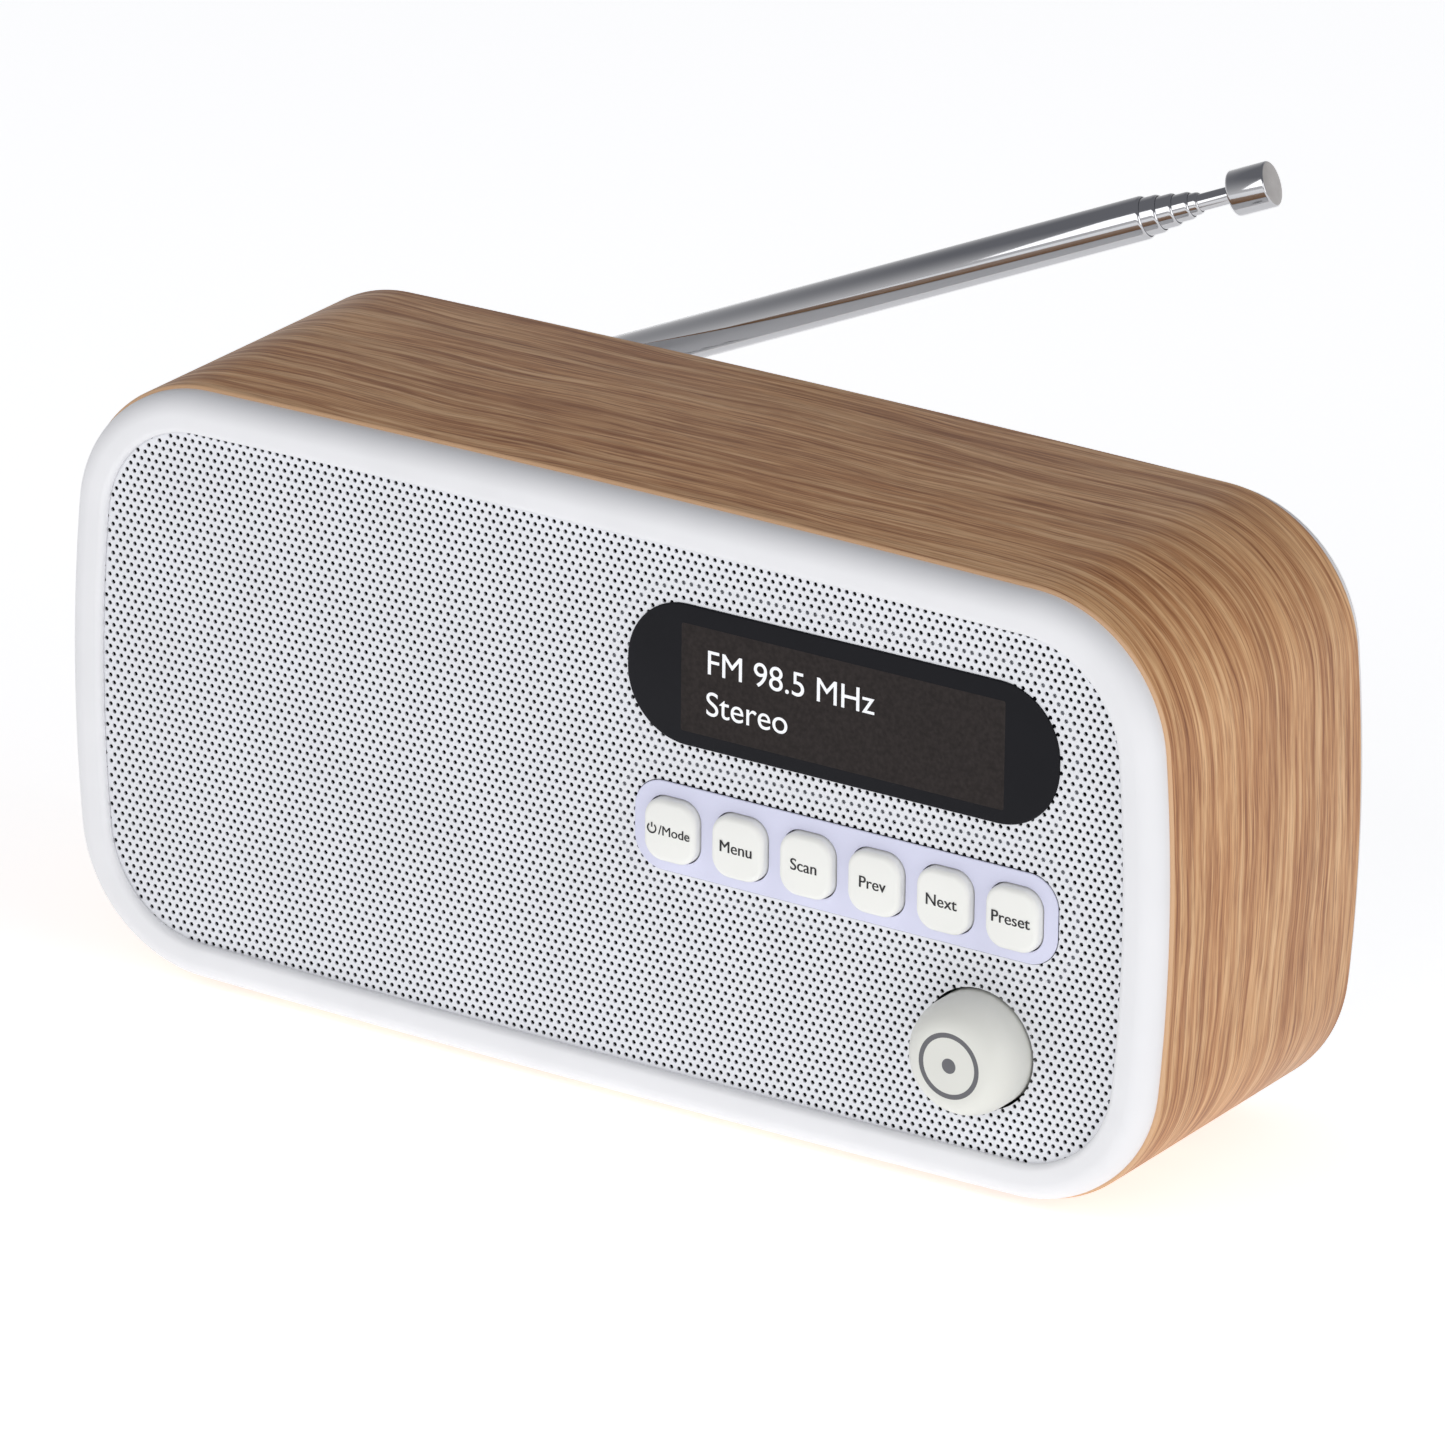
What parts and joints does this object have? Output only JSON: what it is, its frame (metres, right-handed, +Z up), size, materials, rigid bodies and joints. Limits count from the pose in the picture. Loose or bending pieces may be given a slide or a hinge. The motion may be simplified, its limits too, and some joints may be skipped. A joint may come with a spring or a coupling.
{
  "type": "tabletop radio",
  "caption": "Tabletop radio in a bent-wood cabinet with a perforated front, display window, sprung buttons, push-and-turn tuning knob and a telescopic antenna behind.",
  "frame": {"origin": "centre of the plane that the four feet stand on, midway between the sides and between the front and rear edges of the wooden sleeve", "axes": "+X to the right seen from the front, +Y to the rear, +Z up"},
  "size_m": [0.2152, 0.1147, 0.1479],
  "materials": {
    "wood_veneer": "satin oiled veneer, grain along the perimeter",
    "bezel_white": "fine satin white moulding",
    "grille_white": "satin white paint on perforated sheet",
    "speaker_cloth": "black open weave",
    "inner_black": "black moulding",
    "window_black": "glossy smoked window",
    "screen_dark": "dark display glass with pale characters",
    "strip_white": "satin white moulding",
    "button_white": "satin warm white moulding",
    "knob_white": "satin warm white moulding with a printed ring",
    "board_green": "solder-masked glass fibre board",
    "component_black": "moulded component bodies",
    "shield_tin": "tinned sheet",
    "steel_zinc": "zinc-plated steel",
    "antenna_chrome": "polished chromed brass",
    "magnet_grey": "sintered ferrite and steel",
    "cone_paper": "pressed paper pulp",
    "soft_rubber": "soft black rubber",
    "cover_white": "spark-eroded off-white moulding",
    "ribbon_grey": "flat cable insulation",
    "cell_green": "printed sleeve with a bare end"
  },
  "bodies": {
    "root": {"cabinet_sleeve": "wood_veneer", "front_bezel": "bezel_white", "speaker_grille": "grille_white", "grille_cloth": "speaker_cloth", "speaker_baffle": "inner_black", "display_lens": "window_black", "display_module": "screen_dark", "button_strip": "strip_white", "tact_switches": "component_black", "encoder_body": "shield_tin", "control_board": "board_green", "board_screws": "steel_zinc", "main_board": "board_green", "main_board_screws": "steel_zinc", "radio_module": "shield_tin", "board_components": "component_black", "ribbon_cable": "ribbon_grey", "speaker_gasket": "soft_rubber", "speaker_basket": "steel_zinc", "speaker_screws": "steel_zinc", "speaker_magnet": "magnet_grey", "speaker_cone": "cone_paper", "speaker_surround": "soft_rubber", "dust_cap": "cone_paper", "rear_cover": "cover_white", "rear_cover_screws": "steel_zinc", "battery_box": "inner_black", "battery_cells": "cell_green", "battery_contacts": "steel_zinc", "dc_inlet": "component_black", "headphone_jack": "component_black", "antenna_base": "inner_black", "foot_front_left": "soft_rubber", "foot_front_right": "soft_rubber", "foot_rear_right": "soft_rubber", "foot_rear_left": "soft_rubber"},
    "knob_push": {"encoder_plunger": "component_black"},
    "knob": {"tuning_knob": "knob_white", "encoder_shaft": "steel_zinc"},
    "antenna_turret": {"antenna_swivel": "antenna_chrome", "antenna_elbow_pin": "steel_zinc", "antenna_pivot_screw": "steel_zinc"},
    "antenna_arm": {"antenna_elbow": "antenna_chrome", "antenna_tube_1": "antenna_chrome"},
    "antenna_top": {"antenna_rod": "antenna_chrome", "antenna_tip": "antenna_chrome"},
    "battery_lid": {"battery_door": "cover_white"},
    "power_key": {"button_power": "button_white"},
    "menu_key": {"button_menu": "button_white"},
    "scan_key": {"button_scan": "button_white"},
    "previous_key": {"button_previous": "button_white"},
    "next_key": {"button_next": "button_white"},
    "preset_key": {"button_preset": "button_white"},
    "antenna_section_2": {"antenna_tube_2": "antenna_chrome"},
    "antenna_section_3": {"antenna_tube_3": "antenna_chrome"},
    "antenna_section_4": {"antenna_tube_4": "antenna_chrome"},
    "antenna_section_5": {"antenna_tube_5": "antenna_chrome"}
  },
  "joints": [
    {"name": "power_press", "type": "slide", "parent": "root", "child": "power_key", "axis": [0, 1, 0], "range_m": [0, 0.0008], "stiffness_N_per_m": 1500},
    {"name": "menu_press", "type": "slide", "parent": "root", "child": "menu_key", "axis": [0, 1, 0], "range_m": [0, 0.0008], "stiffness_N_per_m": 1500},
    {"name": "scan_press", "type": "slide", "parent": "root", "child": "scan_key", "axis": [0, 1, 0], "range_m": [0, 0.0008], "stiffness_N_per_m": 1500},
    {"name": "previous_press", "type": "slide", "parent": "root", "child": "previous_key", "axis": [0, 1, 0], "range_m": [0, 0.0008], "stiffness_N_per_m": 1500},
    {"name": "next_press", "type": "slide", "parent": "root", "child": "next_key", "axis": [0, 1, 0], "range_m": [0, 0.0008], "stiffness_N_per_m": 1500},
    {"name": "preset_press", "type": "slide", "parent": "root", "child": "preset_key", "axis": [0, 1, 0], "range_m": [0, 0.0008], "stiffness_N_per_m": 1500},
    {"name": "knob_press", "type": "slide", "parent": "root", "child": "knob_push", "axis": [0, 1, 0], "range_m": [0, 0.0007], "stiffness_N_per_m": 3000},
    {"name": "knob_turn", "type": "hinge", "parent": "knob_push", "child": "knob", "pos_m": [0.0734, -0.0296, 0.02755], "axis": [0, 1, 0], "continuous": true},
    {"name": "antenna_turn", "type": "hinge", "parent": "root", "child": "antenna_turret", "pos_m": [-0.061, 0.0296, 0.09354], "axis": [0, -1, 0], "range_deg": [-22.15, 157.85]},
    {"name": "antenna_tilt", "type": "hinge", "parent": "antenna_turret", "child": "antenna_arm", "pos_m": [-0.061, 0.0381, 0.09354], "axis": [-0.377, 0, 0.9262], "range_deg": [-13.16, 76.84]},
    {"name": "section_2_pull", "type": "slide", "parent": "antenna_arm", "child": "antenna_section_2", "axis": [0.9019, 0.2277, 0.3671], "range_m": [0, 0.095]},
    {"name": "section_3_pull", "type": "slide", "parent": "antenna_section_2", "child": "antenna_section_3", "axis": [0.9019, 0.2277, 0.3671], "range_m": [0, 0.095]},
    {"name": "section_4_pull", "type": "slide", "parent": "antenna_section_3", "child": "antenna_section_4", "axis": [0.9019, 0.2277, 0.3671], "range_m": [0, 0.095]},
    {"name": "section_5_pull", "type": "slide", "parent": "antenna_section_4", "child": "antenna_section_5", "axis": [0.9019, 0.2277, 0.3671], "range_m": [0, 0.095]},
    {"name": "rod_pull", "type": "slide", "parent": "antenna_section_5", "child": "antenna_top", "axis": [0.9019, 0.2277, 0.3671], "range_m": [0, 0.095]},
    {"name": "battery_door_swing", "type": "hinge", "parent": "root", "child": "battery_lid", "pos_m": [0, 0.03065, 0.018], "axis": [-1, 0, 0], "range_deg": [0, 85]}
  ]
}
